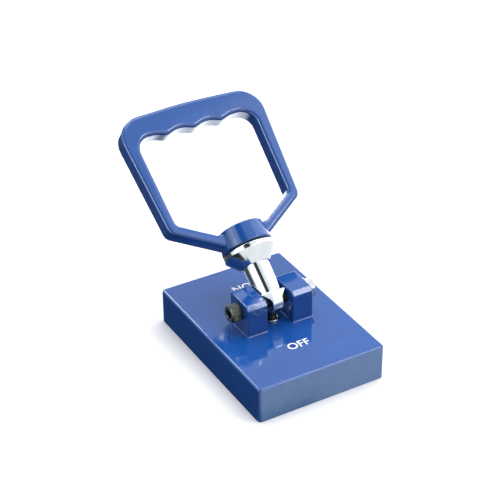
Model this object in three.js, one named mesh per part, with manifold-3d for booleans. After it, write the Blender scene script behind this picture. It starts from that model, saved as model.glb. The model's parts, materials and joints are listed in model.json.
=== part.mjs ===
// Magnetic holder with a tilting ON/OFF handle.
//
// A flat block carries permanent magnets between steel pole bars. Two ears on its top hold a cross bolt,
// and the handle's shank turns on that bolt. The lower end of the shank is a cam: as the handle is pulled
// from the ON side (+Y) to the OFF side (-Y), the cam drives a sprung plunger down through the block and
// peels it off the work.
//
// Millimetres, +Z up. The model stands on Z = 0 with the handle leaning to the ON side.
import * as THREE from 'three';
import { mergeVertices } from 'three/addons/utils/BufferGeometryUtils.js';
import Module from 'manifold-3d';

const wasm = await Module();
wasm.setup();

// ---------------------------------------------------------------- driving dimensions

const runningGap = 0.3; // air between a piece and the one it seats on, slides in or passes through
const roundSides = 48; // facets of a large turned piece
const smallSides = 24; // facets of a screw, bush or pin
const arcSteps = 6; // straight runs in each rounded corner
const cutMargin = 1; // how far a cutter reaches past the face it opens

const block = { width: 100, depth: 140, height: 27, wall: 6, roof: 8, topEdge: 2, corner: 3 };

const magnetPack = { yoke: 4.7, midBar: 18, magnet: 8, filler: 2.7 };

const ear = { width: 16, depth: 24.6, abovePivot: 9.2, gap: 20.4, frontBevel: 3, edge: 1 };

const pivot = { behindCentre: -2.3, aboveBlock: 15.3, radius: 4 };

const lean = { on: THREE.MathUtils.degToRad(52.5), off: THREE.MathUtils.degToRad(52.5) };

const cam = {
  restHeight: 7.4, lift: 3, tongue: 8.4, sideGap: 0.6, shoulderTop: 4.1, shoulderFoot: 3, fillet: 6,
};

const shaft = { step: 0.1, neck: 27.2, neckLip: 1.2, flangeStart: 36.8, flangeTop: 39.8 };

const spigot = { radius: 8, length: 4.6 };

const gasket = { thickness: 0.7, inset: 1 };

const hub = { radius: 19.2, topRadius: 17.4, length: 15.4, edge: 1.5, floor: 3 };

const grip = {
  thickness: 14,
  bevel: 1.5,
  shoulderHalf: 53, // half width and height of the outer corner where the legs meet the sides
  shoulderHeight: 66.6,
  topHalf: 58.7,
  topHeight: 159,
  crown: 2.6, // how far the top edge falls from its middle to the corners
  crownRadius: 400,
  shoulderRadius: 7,
  topRadius: 18.5,
  legFoot: 14.5, // half width and depth of the legs' root inside the hub
  legFootInset: 2.1,
  side: 7.7, // width of the side bars at the bottom
  sideTop: 11.4,
  topBar: 18.8, // from the hollows' deepest points to the top edge
  leg: 7.6, // width of the slanting legs
  innerRadius: 6,
  innerTopRadius: 11,
};

const scallop = { count: 4, pitch: 22.1, depth: 3.2, steps: 8 };

const plunger = { radius: 3.4, chamfer: 0.5, tipRecess: 0.6, collarLip: 2, collar: 2.5 };

const bush = { wall: 1.2, flangeLip: 0.7, flange: 1.5 };

const spring = { wire: 1, innerGap: 0.7, wellGap: 0.9, turns: 5, seat: 4, steps: 100, sides: 8 };

const capScrew = { // M8 cross bolt
  headRadius: 6.5, headLength: 8, socket: 6, socketDepth: 4, chamfer: 0.8, pastNut: 1.6,
};
const washer = { radius: 8, thickness: 1.6 };
const nut = { acrossFlats: 13, thickness: 4 };

const earScrew = { radius: 3, headRadius: 5, head: 4, reach: 9, spacing: 16, socket: 5 };
const poleScrew = {
  radius: 2, headRadius: 4.2, head: 2.3, recess: 0.4, bite: 5.5, endInset: 12, socket: 2.5,
};
const gripScrew = { radius: 4, headRadius: 6.5, head: 5, length: 22, socket: 5, socketDepth: 3 };
const gripWasher = { radius: 7.6, thickness: 1.2 };

// ---------------------------------------------------------------- places worked out from them

const roofUnder = block.height - block.roof;
const pivotHeight = block.height + pivot.aboveBlock;
const earCentre = (ear.gap + ear.width) / 2;
const earOuter = ear.gap / 2 + ear.width;
const hubFoot = shaft.flangeTop + gasket.thickness + 2 * runningGap;
const hubTop = hubFoot + hub.length;
const spigotTop = shaft.flangeTop + spigot.length;
const hubFloorTop = spigotTop + runningGap + hub.floor;
const innerHalf = block.width / 2 - block.wall;
const packTop = roofUnder - runningGap - magnetPack.yoke;
const barHeight = packTop - runningGap;
const packDepth = block.depth - 2 * (block.wall + runningGap);
const camRate = cam.lift / (lean.on + lean.off);
const shoulder = ear.gap - 2 * cam.sideGap;
const shaftRadius = shoulder / 2 - shaft.step;
const collarRadius = plunger.radius + plunger.collarLip;
const springRadius = plunger.radius + spring.innerGap + spring.wire / 2;
const springWell = springRadius + spring.wire / 2 + spring.wellGap;
const plungerTop = pivotHeight - cam.restHeight - runningGap;

// ---------------------------------------------------------------- materials

function finish(color, roughness, metalness) {
  return new THREE.MeshStandardMaterial({ color, roughness, metalness });
}

const blueEnamel = () => finish(0x1d4f9e, 0.22, 0.1);
const chrome = () => finish(0xd9dcdf, 0.08, 1);
const blackOxide = () => finish(0x2b2f2c, 0.45, 0.7);
const zincPlate = () => finish(0xc4c9cc, 0.3, 1);
const groundSteel = () => finish(0x9a9ea2, 0.35, 1);
const ferrite = () => finish(0x35363a, 0.7, 0.1);
const brass = () => finish(0xb08d4a, 0.35, 1);
const blackRubber = () => finish(0x17181a, 0.8, 0);

// ---------------------------------------------------------------- solids

// A three.js geometry as a manifold solid: merged corners, no collapsed triangles.
function solid(geometry) {
  const bare = geometry.index ? geometry.toNonIndexed() : geometry.clone();
  bare.deleteAttribute('normal');
  bare.deleteAttribute('uv');
  const merged = mergeVertices(bare, 1e-4);
  const corners = merged.index.array;
  const kept = [];
  for (let i = 0; i < corners.length; i += 3) {
    const [a, b, c] = [corners[i], corners[i + 1], corners[i + 2]];
    if (a !== b && b !== c && c !== a) kept.push(a, b, c);
  }
  const vertProperties = new Float32Array(merged.attributes.position.array);
  const triVerts = new Uint32Array(kept);
  return new wasm.Manifold(new wasm.Mesh({ numProp: 3, vertProperties, triVerts }));
}

function asGeometry(body) {
  const { vertProperties, triVerts } = body.getMesh();
  const geometry = new THREE.BufferGeometry();
  geometry.setAttribute('position', new THREE.BufferAttribute(new Float32Array(vertProperties), 3));
  geometry.setIndex(new THREE.BufferAttribute(new Uint32Array(triVerts), 1));
  geometry.computeVertexNormals();
  return geometry;
}

function cut(body, ...tools) {
  return tools.reduce((rest, tool) => rest.subtract(tool), body);
}

function join(body, ...others) {
  return others.reduce((sum, other) => sum.add(other), body);
}

function piece(name, body, material) {
  const mesh = new THREE.Mesh(asGeometry(body), material);
  mesh.name = name;
  return mesh;
}

// A box between two corners.
function slab([x0, y0, z0], [x1, y1, z1]) {
  const geometry = new THREE.BoxGeometry(x1 - x0, y1 - y0, z1 - z0);
  return solid(geometry.translate((x0 + x1) / 2, (y0 + y1) / 2, (z0 + z1) / 2));
}

// A body turned about +Z. The profile is a list of [radius, height], upwards along the outside.
function turned(profile, sides, [x, y] = [0, 0]) {
  const points = profile.map(([radius, height]) => new THREE.Vector2(radius, height));
  const geometry = new THREE.LatheGeometry(points, sides);
  return solid(geometry.rotateX(Math.PI / 2).translate(x, y, 0));
}

// A plain rod or drill about +Z, from one height to another.
function rod(radius, from, to, sides = smallSides, place = [0, 0]) {
  return turned([[0, from], [radius, from], [radius, to], [0, to]], sides, place);
}

function hexRod(acrossFlats, from, to, place = [0, 0]) {
  return rod(acrossFlats / Math.sqrt(3), from, to, 6, place);
}

// A ring about +Z.
function ring(inner, outer, from, to, sides) {
  return cut(rod(outer, from, to, sides), rod(inner, from - cutMargin, to + cutMargin, sides));
}

// The points of an outline through [x, y, corner radius], each corner rounded by a true arc.
function traced(corners) {
  const spots = corners.map(([x, y]) => new THREE.Vector2(x, y));
  return corners.flatMap(([, , radius = 0], i) => {
    if (radius === 0) return [spots[i]];
    const before = spots.at(i - 1).clone().sub(spots[i]).normalize();
    const after = spots[(i + 1) % spots.length].clone().sub(spots[i]).normalize();
    const half = Math.acos(before.dot(after)) / 2;
    const centre = before.clone().add(after).setLength(radius / Math.sin(half)).add(spots[i]);
    const start = before.clone().multiplyScalar(radius / Math.tan(half)).add(spots[i]);
    const sweep = (Math.PI - 2 * half) * -Math.sign(before.cross(after));
    const points = [];
    for (let step = 0; step <= arcSteps; step += 1) {
      points.push(start.clone().rotateAround(centre, (sweep * step) / arcSteps));
    }
    return points;
  });
}

// An outline drawn in X and Z, thick along Y and centred on it.
function plateXZ(shape, thickness, bevel = 0) {
  const geometry = new THREE.ExtrudeGeometry(shape, {
    depth: thickness - 2 * bevel,
    bevelEnabled: bevel > 0,
    bevelThickness: bevel,
    bevelSize: bevel,
    bevelOffset: -bevel,
    bevelSegments: 2,
    steps: 1,
  });
  return solid(geometry.translate(0, 0, bevel - thickness / 2).rotateX(Math.PI / 2));
}

// An outline drawn in Y and Z, thick along X and centred on it.
function plateYZ(shape, thickness, bevel = 0) {
  return plateXZ(shape, thickness, bevel).rotate([0, 0, 90]);
}

// ---------------------------------------------------------------- magnet block

const screwSpots = { ear: [], pole: [] };
for (const side of [-1, 1]) {
  for (const end of [-1, 1]) {
    screwSpots.ear.push([side * earCentre, pivot.behindCentre + (end * earScrew.spacing) / 2]);
  }
}

const sideBar = innerHalf - magnetPack.midBar / 2 - 2 * magnetPack.magnet - 4 * runningGap;
const sideBarCentre = (magnetPack.midBar + sideBar) / 2 + magnetPack.magnet + 2 * runningGap;
const barCentres = [-sideBarCentre, 0, sideBarCentre];
const barWidths = [sideBar, magnetPack.midBar, sideBar];
for (const centre of barCentres) {
  for (const end of [-1, 1]) screwSpots.pole.push([centre, end * (packDepth / 2 - poleScrew.endInset)]);
}

function makeHousing() {
  const [halfWidth, halfDepth] = [block.width / 2, block.depth / 2];
  const plan = new THREE.Shape(traced([
    [-halfWidth, -halfDepth, block.corner],
    [halfWidth, -halfDepth, block.corner],
    [halfWidth, halfDepth, block.corner],
    [-halfWidth, halfDepth, block.corner],
  ]));
  const below = 2 * block.topEdge;
  const geometry = new THREE.ExtrudeGeometry(plan, {
    depth: block.height + below - 2 * block.topEdge,
    bevelThickness: block.topEdge,
    bevelSize: block.topEdge,
    bevelOffset: -block.topEdge,
    bevelSegments: 3,
    steps: 1,
  });
  const outer = solid(geometry.translate(0, 0, block.topEdge - below));
  const innerY = halfDepth - block.wall;
  return cut(
    outer,
    slab([-block.width, -block.depth, -block.height], [block.width, block.depth, 0]),
    slab([-innerHalf, -innerY, -cutMargin], [innerHalf, innerY, roofUnder]),
    rod(bush.wall + plunger.radius + 2 * runningGap, roofUnder - cutMargin, block.height + cutMargin,
      smallSides, [0, pivot.behindCentre]),
    ...screwSpots.ear.map((spot) =>
      rod(earScrew.radius + runningGap, roofUnder - cutMargin, block.height + cutMargin, smallSides, spot)),
    ...screwSpots.pole.map((spot) =>
      rod(poleScrew.radius + runningGap, roofUnder - cutMargin, roofUnder + poleScrew.bite + runningGap,
        smallSides, spot)),
  );
}

function makeYoke() {
  const innerX = innerHalf - runningGap;
  const [low, high] = [packTop - cutMargin, roofUnder];
  return cut(
    slab([-innerX, -packDepth / 2, packTop], [innerX, packDepth / 2, packTop + magnetPack.yoke]),
    rod(springWell, low, high, smallSides, [0, pivot.behindCentre]),
    ...screwSpots.ear.map((spot) => rod(earScrew.headRadius + runningGap, low, high, smallSides, spot)),
    ...screwSpots.pole.map((spot) => rod(poleScrew.radius + runningGap, low, high, smallSides, spot)),
  );
}

// The countersunk seat of a pole screw, a running gap larger than the screw all over.
function poleSeat(spot) {
  const rim = poleScrew.headRadius + runningGap;
  return turned([
    [0, -cutMargin],
    [rim, -cutMargin],
    [rim, poleScrew.recess],
    [poleScrew.radius + runningGap, poleScrew.recess + poleScrew.head],
    [poleScrew.radius + runningGap, barHeight + cutMargin],
    [0, barHeight + cutMargin],
  ], smallSides, spot);
}

function makePoleBar(index) {
  const [centre, half] = [barCentres[index], barWidths[index] / 2];
  const bar = slab([centre - half, -packDepth / 2, 0], [centre + half, packDepth / 2, barHeight]);
  const drilled = cut(bar, ...screwSpots.pole.slice(2 * index, 2 * index + 2).map(poleSeat));
  if (centre !== 0) return drilled;
  const spot = [0, pivot.behindCentre];
  return cut(
    drilled,
    rod(springWell, spring.seat, barHeight + cutMargin, smallSides, spot),
    rod(plunger.radius + runningGap, -cutMargin, spring.seat + cutMargin, smallSides, spot),
  );
}

function makePoleScrew(spot) {
  const { radius, headRadius, head, recess, socket } = poleScrew;
  const top = roofUnder + poleScrew.bite;
  const screw = turned([
    [0, recess],
    [headRadius, recess],
    [radius, recess + head],
    [radius, top],
    [0, top],
  ], smallSides, spot);
  return cut(screw, hexRod(socket, recess - cutMargin, recess + head * 0.7, spot));
}

function makeEar(side) {
  const [halfDepth, foot, top] = [ear.depth / 2, block.height, pivotHeight + ear.abovePivot];
  const outline = new THREE.Shape(traced([
    [-halfDepth, foot],
    [halfDepth, foot],
    [halfDepth, top],
    [ear.frontBevel - halfDepth, top],
    [-halfDepth, top - ear.frontBevel],
  ]));
  const body = plateYZ(outline, ear.width, ear.edge).translate([side * earCentre, pivot.behindCentre, 0]);
  const spots = screwSpots.ear.filter(([x]) => Math.sign(x) === side);
  return cut(
    body,
    crossDrill(pivot.radius + runningGap),
    ...spots.map((spot) =>
      rod(earScrew.radius + runningGap, foot - cutMargin, foot + earScrew.reach + runningGap,
        smallSides, spot)),
  );
}

// A drill along the cross bolt's axis.
function crossDrill(radius) {
  const drill = rod(radius, -block.width, block.width);
  return drill.rotate([0, 90, 0]).translate([0, pivot.behindCentre, pivotHeight]);
}

function makeEarScrew(spot) {
  const seat = roofUnder - runningGap;
  const { radius, headRadius, head, reach, socket } = earScrew;
  const screw = turned([
    [0, seat - head],
    [headRadius, seat - head],
    [headRadius, seat],
    [radius, seat],
    [radius, block.height + reach],
    [0, block.height + reach],
  ], smallSides, spot);
  return cut(screw, hexRod(socket, seat - head - cutMargin, seat - head * 0.4, spot));
}

const blockGroup = new THREE.Group();
blockGroup.add(piece('housing', makeHousing(), blueEnamel()));
blockGroup.add(piece('yoke_plate', makeYoke(), groundSteel()));
['left', 'mid', 'right'].forEach((name, i) => {
  blockGroup.add(piece(`pole_bar_${name}`, makePoleBar(i), groundSteel()));
});

const magnetCentre = (magnetPack.midBar + magnetPack.magnet) / 2 + runningGap;
const outerMagnetCentre = sideBarCentre + (sideBar + magnetPack.magnet) / 2 + runningGap;
[-outerMagnetCentre, -magnetCentre, magnetCentre, outerMagnetCentre].forEach((x, i) => {
  const [left, right] = [x - magnetPack.magnet / 2, x + magnetPack.magnet / 2];
  const [back, front] = [packDepth / 2, -packDepth / 2];
  const seat = magnetPack.filler + runningGap;
  blockGroup.add(piece(`magnet_${i + 1}`, slab([left, front, seat], [right, back, barHeight]), ferrite()));
  blockGroup.add(piece(`filler_strip_${i + 1}`,
    slab([left, front, 0], [right, back, magnetPack.filler]), brass()));
});

screwSpots.pole.forEach((spot, i) => {
  blockGroup.add(piece(`pole_screw_${i + 1}`, makePoleScrew(spot), zincPlate()));
});
blockGroup.add(piece('ear_left', makeEar(-1), blueEnamel()));
blockGroup.add(piece('ear_right', makeEar(1), blueEnamel()));
screwSpots.ear.forEach((spot, i) => {
  blockGroup.add(piece(`ear_screw_${i + 1}`, makeEarScrew(spot), zincPlate()));
});

// ---------------------------------------------------------------- release plunger

const bushBore = plunger.radius + runningGap;
const bushBody = bushBore + bush.wall;
const flangeRadius = bushBody + bush.flangeLip;
const bushProfile = [
  [bushBore, roofUnder],
  [bushBody, roofUnder],
  [bushBody, block.height + runningGap],
  [flangeRadius, block.height + runningGap],
  [flangeRadius, block.height + bush.flange - runningGap],
  [flangeRadius - runningGap, block.height + bush.flange],
  [bushBore, block.height + bush.flange],
  [bushBore, roofUnder],
];

const collarTop = roofUnder - runningGap;
const collarFoot = collarTop - plunger.collar;
const plungerProfile = [
  [0, plunger.tipRecess],
  [plunger.radius - plunger.chamfer, plunger.tipRecess],
  [plunger.radius, plunger.tipRecess + plunger.chamfer],
  [plunger.radius, collarFoot],
  [collarRadius, collarFoot],
  [collarRadius, collarTop],
  [plunger.radius, collarTop],
  [plunger.radius, plungerTop - plunger.chamfer],
  [plunger.radius - plunger.chamfer, plungerTop],
  [0, plungerTop],
];

class Coil extends THREE.Curve {
  constructor(radius, from, to, turns) {
    super();
    Object.assign(this, { radius, from, to, turns });
  }

  getPoint(t, target = new THREE.Vector3()) {
    const angle = t * this.turns * 2 * Math.PI;
    const height = THREE.MathUtils.lerp(this.from, this.to, t);
    return target.set(this.radius * Math.cos(angle), this.radius * Math.sin(angle), height);
  }
}

function makeSpring() {
  const reach = spring.wire / 2 + runningGap;
  const path = new Coil(springRadius, spring.seat + reach, collarFoot - reach, spring.turns);
  const corners = [];
  for (let i = 0; i < spring.sides; i += 1) {
    const angle = (i * 2 * Math.PI) / spring.sides;
    corners.push([(Math.cos(angle) * spring.wire) / 2, (Math.sin(angle) * spring.wire) / 2]);
  }
  const section = new THREE.Shape(traced(corners));
  return solid(new THREE.ExtrudeGeometry(section, { extrudePath: path, steps: spring.steps }));
}

const releaseGroup = new THREE.Group();
releaseGroup.position.y = pivot.behindCentre;
releaseGroup.add(piece('plunger_bush', turned(bushProfile, roundSides / 2), zincPlate()));
releaseGroup.add(piece('plunger', turned(plungerProfile, smallSides), blackOxide()));
releaseGroup.add(piece('return_spring', makeSpring(), groundSteel()));

// ---------------------------------------------------------------- cross bolt, along +X

const headSeat = -earOuter - runningGap;
const washerSeat = earOuter + runningGap;
const nutSeat = washerSeat + washer.thickness + runningGap;
const boltEnd = nutSeat + nut.thickness + capScrew.pastNut;

function makeBolt() {
  const { headRadius, headLength, chamfer, socket, socketDepth } = capScrew;
  const headFace = headSeat - headLength;
  const bolt = turned([
    [0, headFace],
    [headRadius - chamfer, headFace],
    [headRadius, headFace + chamfer],
    [headRadius, headSeat],
    [pivot.radius, headSeat],
    [pivot.radius, boltEnd - chamfer],
    [pivot.radius - chamfer, boltEnd],
    [0, boltEnd],
  ], roundSides);
  return cut(bolt, hexRod(socket, headFace - cutMargin, headFace + socketDepth));
}

function makeNut() {
  const corner = nut.acrossFlats / Math.sqrt(3);
  const flat = nut.acrossFlats / 2;
  const slope = (corner - flat) * Math.tan(Math.PI / 6);
  const top = nutSeat + nut.thickness;
  const rounded = turned([
    [0, nutSeat],
    [flat, nutSeat],
    [corner, nutSeat + slope],
    [corner, top - slope],
    [flat, top],
    [0, top],
  ], roundSides);
  const threadBore = rod(pivot.radius + runningGap, nutSeat - cutMargin, top + cutMargin);
  return cut(hexRod(nut.acrossFlats, nutSeat, top).intersect(rounded), threadBore);
}

const boltGroup = new THREE.Group();
boltGroup.position.set(0, pivot.behindCentre, pivotHeight);
boltGroup.rotation.y = Math.PI / 2;
boltGroup.add(piece('pivot_bolt', makeBolt(), blackOxide()));
boltGroup.add(piece('pivot_washer',
  ring(pivot.radius + runningGap, washer.radius, washerSeat, washerSeat + washer.thickness, roundSides),
  zincPlate()));
boltGroup.add(piece('pivot_nut', makeNut(), zincPlate()));

// ---------------------------------------------------------------- handle, drawn upright on the bolt's axis

// The cam's outline in Y and Z. Its distance from the axis to a flat face below it grows evenly with the
// handle's angle, so the plunger's travel is proportional to the swing.
function camOutline() {
  const half = shoulder / 2;
  const steps = 16;
  const curve = [];
  for (let i = 0; i <= steps; i += 1) {
    const angle = THREE.MathUtils.lerp(lean.off, -lean.on, i / steps);
    const height = cam.restHeight + camRate * (angle + lean.on);
    const [sin, cos] = [Math.sin(angle), Math.cos(angle)];
    curve.push([-height * sin - camRate * cos, -height * cos + camRate * sin]);
  }
  const [frontY, frontZ] = curve[0];
  const [backY, backZ] = curve.at(-1);
  const frontRun = (half + frontY) / Math.cos(lean.off);
  const backRun = (half - backY) / Math.cos(lean.on);
  return new THREE.Shape(traced([
    [-half, cam.shoulderTop],
    [-half, frontZ + frontRun * Math.sin(lean.off)],
    ...curve,
    [half, backZ + backRun * Math.sin(lean.on)],
    [half, cam.shoulderTop],
  ]));
}

// The foot seen from the front: square shoulders, filleted down to a narrow tongue.
function footOutline() {
  const [half, tongue] = [shoulder / 2, cam.tongue / 2];
  const drop = half - tongue;
  const low = -2 * (cam.restHeight + cam.lift);
  return new THREE.Shape(traced([
    [-half, cam.shoulderTop, 1],
    [-half, cam.shoulderFoot],
    [-tongue, cam.shoulderFoot - drop, cam.fillet],
    [-tongue, low],
    [tongue, low],
    [tongue, cam.shoulderFoot - drop, cam.fillet],
    [half, cam.shoulderFoot],
    [half, cam.shoulderTop, 1],
  ]));
}

function makeShank() {
  const foot = plateXZ(footOutline(), 4 * shoulder).intersect(plateYZ(camOutline(), 4 * shoulder));
  const neck = turned([
    [0, cam.shoulderFoot],
    [shaftRadius, cam.shoulderFoot],
    [shaftRadius, shaft.neck],
    [shaftRadius + shaft.neckLip, shaft.neck],
    [hub.radius, shaft.flangeStart],
    [hub.radius, shaft.flangeTop],
    [spigot.radius, shaft.flangeTop],
    [spigot.radius, spigotTop],
    [0, spigotTop],
  ], roundSides);
  const screwEnd = gripScrewSeat - gripScrew.length;
  return cut(
    join(foot, neck),
    rod(pivot.radius + runningGap, -shoulder, shoulder, smallSides).rotate([0, 90, 0]),
    rod(gripScrew.radius + runningGap, screwEnd - runningGap, spigotTop + cutMargin),
  );
}

const gripWasherSeat = hubFloorTop + runningGap;
const gripScrewSeat = gripWasherSeat + gripWasher.thickness + runningGap;

// The opening's half width at the bottom and the top of its straight sides.
const openingHalf = grip.shoulderHalf - grip.side;
const openingTopHalf = grip.topHalf - grip.sideTop;
const hollowTop = grip.topHeight - grip.topBar;

function gripOutline() {
  const legRoot = hubFoot + grip.legFootInset;
  const outline = new THREE.Shape(traced([
    [grip.legFoot, legRoot],
    [grip.shoulderHalf, grip.shoulderHeight, grip.shoulderRadius],
    [grip.topHalf, grip.topHeight - grip.crown, grip.topRadius],
    [0, grip.topHeight, grip.crownRadius],
    [-grip.topHalf, grip.topHeight - grip.crown, grip.topRadius],
    [-grip.shoulderHalf, grip.shoulderHeight, grip.shoulderRadius],
    [-grip.legFoot, legRoot],
  ]));
  const legRun = new THREE.Vector2(grip.shoulderHalf - grip.legFoot, grip.shoulderHeight - legRoot);
  const legSlope = legRun.y / legRun.x;
  const rise = grip.leg * Math.sqrt(1 + legSlope ** 2); // of the leg's inner edge over its outer edge
  const legInner = (x) => legRoot + (x - grip.legFoot) * legSlope + rise;
  const meet = grip.legFoot + (hubTop - cutMargin - rise - legRoot) / legSlope;
  // The two end hollows are cut short at their deepest point and run into the opening's round corners.
  const scallops = [];
  const half = ((scallop.count - 1) * scallop.pitch) / 2;
  const count = (scallop.count - 1) * scallop.steps;
  for (let i = 0; i <= count; i += 1) {
    const crest = scallop.depth * (1 - Math.abs(Math.cos((i * Math.PI) / scallop.steps)));
    scallops.push([half - (i * 2 * half) / count, hollowTop - crest]);
  }
  const topRadius = Math.min(grip.innerTopRadius, openingTopHalf - half);
  const opening = new THREE.Path(traced([
    [-meet, hubTop - cutMargin],
    [meet, hubTop - cutMargin],
    [openingHalf, legInner(openingHalf), grip.innerRadius],
    [openingTopHalf, hollowTop, topRadius],
    ...scallops,
    [-openingTopHalf, hollowTop, topRadius],
    [-openingHalf, legInner(openingHalf), grip.innerRadius],
  ]));
  outline.holes.push(opening);
  return outline;
}

function makeHandle() {
  const hubBody = turned([
    [0, hubFoot],
    [hub.radius - hub.edge, hubFoot],
    [hub.radius, hubFoot + hub.edge],
    [hub.topRadius, hubTop - hub.edge],
    [hub.topRadius - hub.edge, hubTop],
    [0, hubTop],
  ], roundSides);
  const frame = plateXZ(gripOutline(), grip.thickness, grip.bevel);
  return cut(
    join(frame, hubBody),
    rod(spigot.radius + runningGap, hubFoot - cutMargin, spigotTop + runningGap),
    rod(gripScrew.radius + runningGap, spigotTop - cutMargin, hubFloorTop + cutMargin),
    rod(gripWasher.radius + runningGap, hubFloorTop, hubTop + cutMargin),
  );
}

function makeGripScrew() {
  const { radius, headRadius, head, length, socket, socketDepth } = gripScrew;
  const top = gripScrewSeat + head;
  const screw = turned([
    [0, gripScrewSeat - length],
    [radius, gripScrewSeat - length],
    [radius, gripScrewSeat],
    [headRadius, gripScrewSeat],
    [headRadius, top],
    [0, top],
  ], smallSides);
  return cut(screw, hexRod(socket, top - socketDepth, top + cutMargin));
}

const handleGroup = new THREE.Group();
handleGroup.position.set(0, pivot.behindCentre, pivotHeight);
handleGroup.rotation.x = -lean.on;
handleGroup.add(piece('shank', makeShank(), chrome()));
const gasketFoot = shaft.flangeTop + runningGap;
handleGroup.add(piece('gasket_ring',
  ring(spigot.radius + runningGap, hub.radius - gasket.inset, gasketFoot,
    gasketFoot + gasket.thickness, roundSides),
  blackRubber()));
handleGroup.add(piece('handle', makeHandle(), blueEnamel()));
handleGroup.add(piece('handle_washer',
  ring(gripScrew.radius + runningGap, gripWasher.radius, gripWasherSeat,
    gripWasherSeat + gripWasher.thickness, smallSides), zincPlate()));
handleGroup.add(piece('handle_screw', makeGripScrew(), blackOxide()));

// ---------------------------------------------------------------- the whole holder

// The origin is on the surface that it stands on, below the middle of its overall length.
const holder = new THREE.Group();
holder.name = 'magnet_holder';
holder.add(blockGroup, releaseGroup, boltGroup, handleGroup);
holder.updateMatrixWorld(true);
const extent = new THREE.Box3().setFromObject(holder, true);
holder.position.y = -(extent.min.y + extent.max.y) / 2;

export default holder;
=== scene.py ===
import json
import math

import bmesh
import bpy
from mathutils import Matrix, Vector


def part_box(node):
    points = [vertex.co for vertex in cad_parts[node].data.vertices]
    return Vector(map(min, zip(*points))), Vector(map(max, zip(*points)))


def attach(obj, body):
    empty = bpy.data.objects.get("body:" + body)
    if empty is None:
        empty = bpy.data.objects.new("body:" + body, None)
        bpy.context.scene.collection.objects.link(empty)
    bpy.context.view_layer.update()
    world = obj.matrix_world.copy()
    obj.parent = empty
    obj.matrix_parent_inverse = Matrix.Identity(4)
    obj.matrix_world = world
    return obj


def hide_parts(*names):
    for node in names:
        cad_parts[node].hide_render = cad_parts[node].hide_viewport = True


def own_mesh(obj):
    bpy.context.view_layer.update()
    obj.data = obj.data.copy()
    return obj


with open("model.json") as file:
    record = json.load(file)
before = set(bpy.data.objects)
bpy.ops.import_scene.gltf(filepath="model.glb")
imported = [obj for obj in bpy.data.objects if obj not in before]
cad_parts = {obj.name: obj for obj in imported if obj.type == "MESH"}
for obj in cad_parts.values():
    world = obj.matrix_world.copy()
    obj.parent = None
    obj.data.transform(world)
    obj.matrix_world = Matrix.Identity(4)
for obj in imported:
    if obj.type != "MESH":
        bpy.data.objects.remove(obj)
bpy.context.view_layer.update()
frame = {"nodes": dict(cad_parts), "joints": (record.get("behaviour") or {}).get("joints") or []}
joints = {joint["name"]: joint for joint in frame["joints"]}
pivotPoint = Vector(joints["handle_tilt"]["pos_m"])
mm = 0.001  # every shape below is drawn in millimetres and scaled as it is placed
print("frame loaded,", len(frame["nodes"]), "nodes")


def show(item):
    bpy.context.scene.collection.objects.link(item)
    return item


# camera

cameraSetup = {
    "place": (-0.4577, -0.7978, 0.6512), "lens": 111.6,
    "around": -29.884, "above": 32.427, "roll": -0.496,  # degrees
}


def makeCamera(setup):
    around, above, roll = (math.radians(setup[key]) for key in ("around", "above", "roll"))
    right = Vector((math.cos(around), math.sin(around), 0))
    back = Vector((
        math.sin(around) * math.cos(above), -math.cos(around) * math.cos(above), math.sin(above)))
    up = back.cross(right)
    x = right * math.cos(roll) + up * math.sin(roll)
    y = up * math.cos(roll) - right * math.sin(roll)
    camera = bpy.data.objects.new("studioCamera", bpy.data.cameras.new("studioCamera"))
    camera.data.lens = setup["lens"]
    camera.matrix_world = Matrix.Translation(setup["place"]) @ Matrix((x, y, back)).transposed().to_4x4()
    bpy.context.scene.camera = show(camera)


makeCamera(cameraSetup)

# shader effects that several finishes share


def setSocket(tree, socket, value):  # a link where the value is a socket, else a constant
    if isinstance(value, bpy.types.NodeSocket):
        tree.links.new(value, socket)
    elif socket.type == "RGBA":
        socket.default_value = (*value, 1)
    else:
        socket.default_value = value


def addNode(tree, kind, inputs=None, **settings):
    node = tree.nodes.new(kind)
    for key, value in settings.items():
        setattr(node, key, value)
    for key, value in (inputs or {}).items():
        setSocket(tree, node.inputs[key], value)
    return node


def remap(tree, value, fromMin, fromMax, toMin, toMax, smooth=False):
    return addNode(tree, "ShaderNodeMapRange", {
        "Value": value, "From Min": fromMin, "From Max": fromMax, "To Min": toMin, "To Max": toMax},
        interpolation_type="SMOOTHSTEP" if smooth else "LINEAR").outputs[0]


def compute(tree, operation, *values, clamped=False):
    return addNode(
        tree, "ShaderNodeMath", dict(enumerate(values)), operation=operation, use_clamp=clamped).outputs[0]


def separate(tree, vector):
    return addNode(tree, "ShaderNodeSeparateXYZ", {0: vector}).outputs


def newGroup(name, kind, inputs, outputs):
    tree = bpy.data.node_groups.new(name, kind)
    for way, sockets in (("INPUT", inputs), ("OUTPUT", outputs)):
        for label, socket in sockets:
            tree.interface.new_socket(name=label, in_out=way, socket_type="NodeSocket" + socket)
    return tree, addNode(tree, "NodeGroupInput").outputs, addNode(tree, "NodeGroupOutput").inputs


noiseMiddle = (0.3, 0.7)  # the stretch of a noise that is spread from Low to High


def endSpread(tree, given, out, noise):
    tree.links.new(remap(tree, noise, *noiseMiddle, given["Low"], given["High"]), out["Value"])
    tree.links.new(noise, out["Height"])
    return tree


def makeGrain():  # soft cloudy variation, for tone, gloss and orange peel
    tree, given, out = newGroup(
        "cloudyGrain", "ShaderNodeTree",
        [("Vector", "Vector"), ("Scale", "Float"), ("Detail", "Float"), ("Low", "Float"), ("High", "Float")],
        [("Value", "Float"), ("Height", "Float")])
    noise = addNode(tree, "ShaderNodeTexNoise", {key: given[key] for key in ("Vector", "Scale", "Detail")})
    return endSpread(tree, given, out, noise.outputs[0])


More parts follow.
